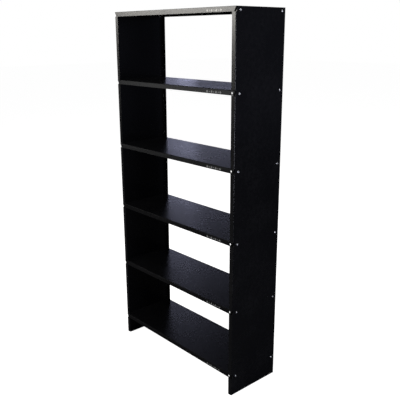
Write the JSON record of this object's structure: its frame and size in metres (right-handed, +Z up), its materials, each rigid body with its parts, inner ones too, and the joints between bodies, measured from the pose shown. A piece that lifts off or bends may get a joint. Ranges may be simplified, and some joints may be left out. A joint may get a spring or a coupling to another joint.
{
  "type": "open display rack",
  "caption": "Tall narrow open-backed display rack of folded sheet steel: full-height side panels with level shelves bolted between them, each with a downturned lip.",
  "frame": {"origin": "on the floor, at the middle of the footprint", "axes": "+Z up, X across the width, the front with the shelf lips faces -Y"},
  "size_m": [0.8766, 0.305, 1.8],
  "materials": {
    "side_powder_coat": "semi-gloss black powder coat",
    "shelf_powder_coat": "semi-gloss black powder coat with a fine texture",
    "zinc_hardware": "bright zinc plate",
    "glide_plastic": "moulded black nylon"
  },
  "bodies": {
    "root": {"left_side_panel": "side_powder_coat", "right_side_panel": "side_powder_coat", "shelf_1_top": "shelf_powder_coat", "shelf_2": "shelf_powder_coat", "shelf_3": "shelf_powder_coat", "shelf_4": "shelf_powder_coat", "shelf_5": "shelf_powder_coat", "shelf_6_bottom": "shelf_powder_coat", "stiffener_1": "shelf_powder_coat", "stiffener_2": "shelf_powder_coat", "stiffener_3": "shelf_powder_coat", "stiffener_4": "shelf_powder_coat", "stiffener_5": "shelf_powder_coat", "stiffener_6": "shelf_powder_coat", "bolts_1": "zinc_hardware", "washers_1": "zinc_hardware", "nuts_1": "zinc_hardware", "bolts_2": "zinc_hardware", "washers_2": "zinc_hardware", "nuts_2": "zinc_hardware", "bolts_3": "zinc_hardware", "washers_3": "zinc_hardware", "nuts_3": "zinc_hardware", "bolts_4": "zinc_hardware", "washers_4": "zinc_hardware", "nuts_4": "zinc_hardware", "bolts_5": "zinc_hardware", "washers_5": "zinc_hardware", "nuts_5": "zinc_hardware", "bolts_6": "zinc_hardware", "washers_6": "zinc_hardware", "nuts_6": "zinc_hardware", "glide_front_left": "glide_plastic", "glide_front_right": "glide_plastic", "glide_rear_left": "glide_plastic", "glide_rear_right": "glide_plastic"}
  },
  "joints": []
}
